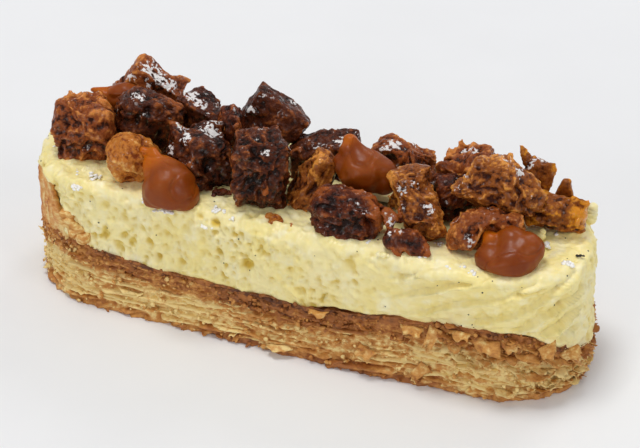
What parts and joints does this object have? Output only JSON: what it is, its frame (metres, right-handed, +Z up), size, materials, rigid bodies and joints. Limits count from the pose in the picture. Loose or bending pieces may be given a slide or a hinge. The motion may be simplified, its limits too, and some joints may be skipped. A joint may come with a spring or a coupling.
{
  "type": "mille feuille slice",
  "caption": "Narrow round-ended pastry slice: a flaky layered base, a block of set cream on it, and a heap of caramelised pastry chunks with soft drops of caramel on top.",
  "frame": {"origin": "middle of the flat underside of the pastry base", "axes": "+X along the slice, towards the end with the light brown chunks; +Y towards the back of the slice; +Z up"},
  "size_m": [0.1297, 0.043, 0.0485],
  "materials": {
    "pastry": "matte, flaky, browned at the layers' edges",
    "cream": "satin, soft set cream with small air holes and dark specks",
    "golden": "glazed, light brown",
    "baked": "glazed, mid brown",
    "dark": "glazed, dark brown with white sugar",
    "amber": "glassy burnt sugar",
    "caramel": "smooth, glossy soft caramel"
  },
  "bodies": {
    "root": {"caramel_left_back": "caramel", "caramel_left_front": "caramel", "caramel_middle": "caramel", "caramel_right": "caramel", "chunk_back_high": "baked", "chunk_back_round": "baked", "chunk_back_slope": "dark", "chunk_back_small": "baked", "chunk_bar": "dark", "chunk_between": "dark", "chunk_curl": "baked", "chunk_flaky_low": "baked", "chunk_golden_top": "golden", "chunk_leaning": "baked", "chunk_left_front": "baked", "chunk_left_golden": "golden", "chunk_left_middle": "dark", "chunk_left_peak": "dark", "chunk_right_end": "amber", "chunk_right_front": "baked", "chunk_ruby": "baked", "chunk_shard": "golden", "chunk_spike": "golden", "chunk_sugared": "dark", "chunk_tall_back": "dark", "chunk_tall_front": "dark", "chunk_wedge": "golden", "cream": "cream", "pastry_base": "pastry"}
  },
  "joints": []
}
